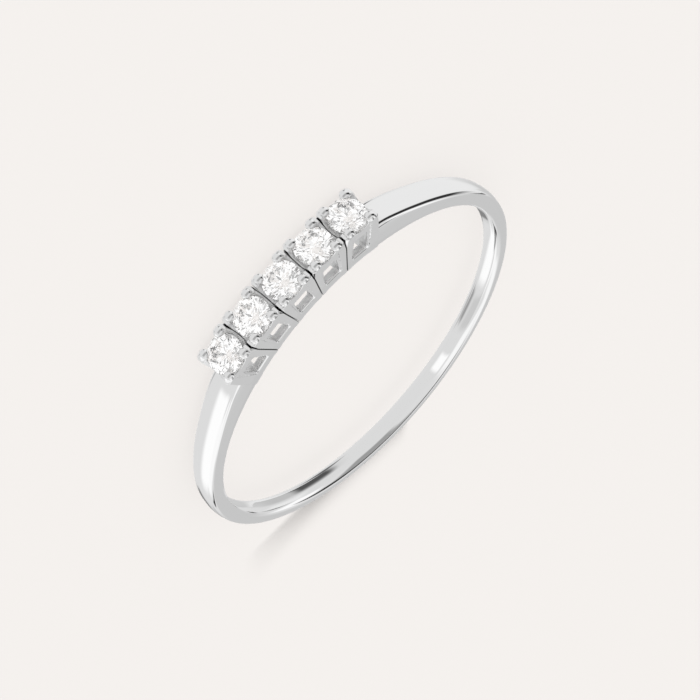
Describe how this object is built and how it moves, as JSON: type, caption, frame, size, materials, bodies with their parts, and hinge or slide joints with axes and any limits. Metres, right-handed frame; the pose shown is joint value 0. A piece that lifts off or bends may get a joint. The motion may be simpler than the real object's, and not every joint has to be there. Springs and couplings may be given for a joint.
{
  "type": "diamond ring",
  "caption": "Slim ring of polished white metal with a short row of round brilliant stones in square four-prong baskets, on a band that tapers to the back.",
  "frame": {"origin": "middle of the finger hole, on its axis and halfway through its width", "axes": "+Z along the finger axis, -Y towards the row of stones, +Y towards the back of the band, X along the row of stones"},
  "size_m": [0.019, 0.0213, 0.002],
  "materials": {
    "white_gold": "polished",
    "diamond": "polished facets"
  },
  "bodies": {
    "root": {"band_and_baskets": "white_gold", "diamond_1": "diamond", "diamond_2": "diamond", "diamond_3": "diamond", "diamond_4": "diamond", "diamond_5": "diamond"}
  },
  "joints": []
}
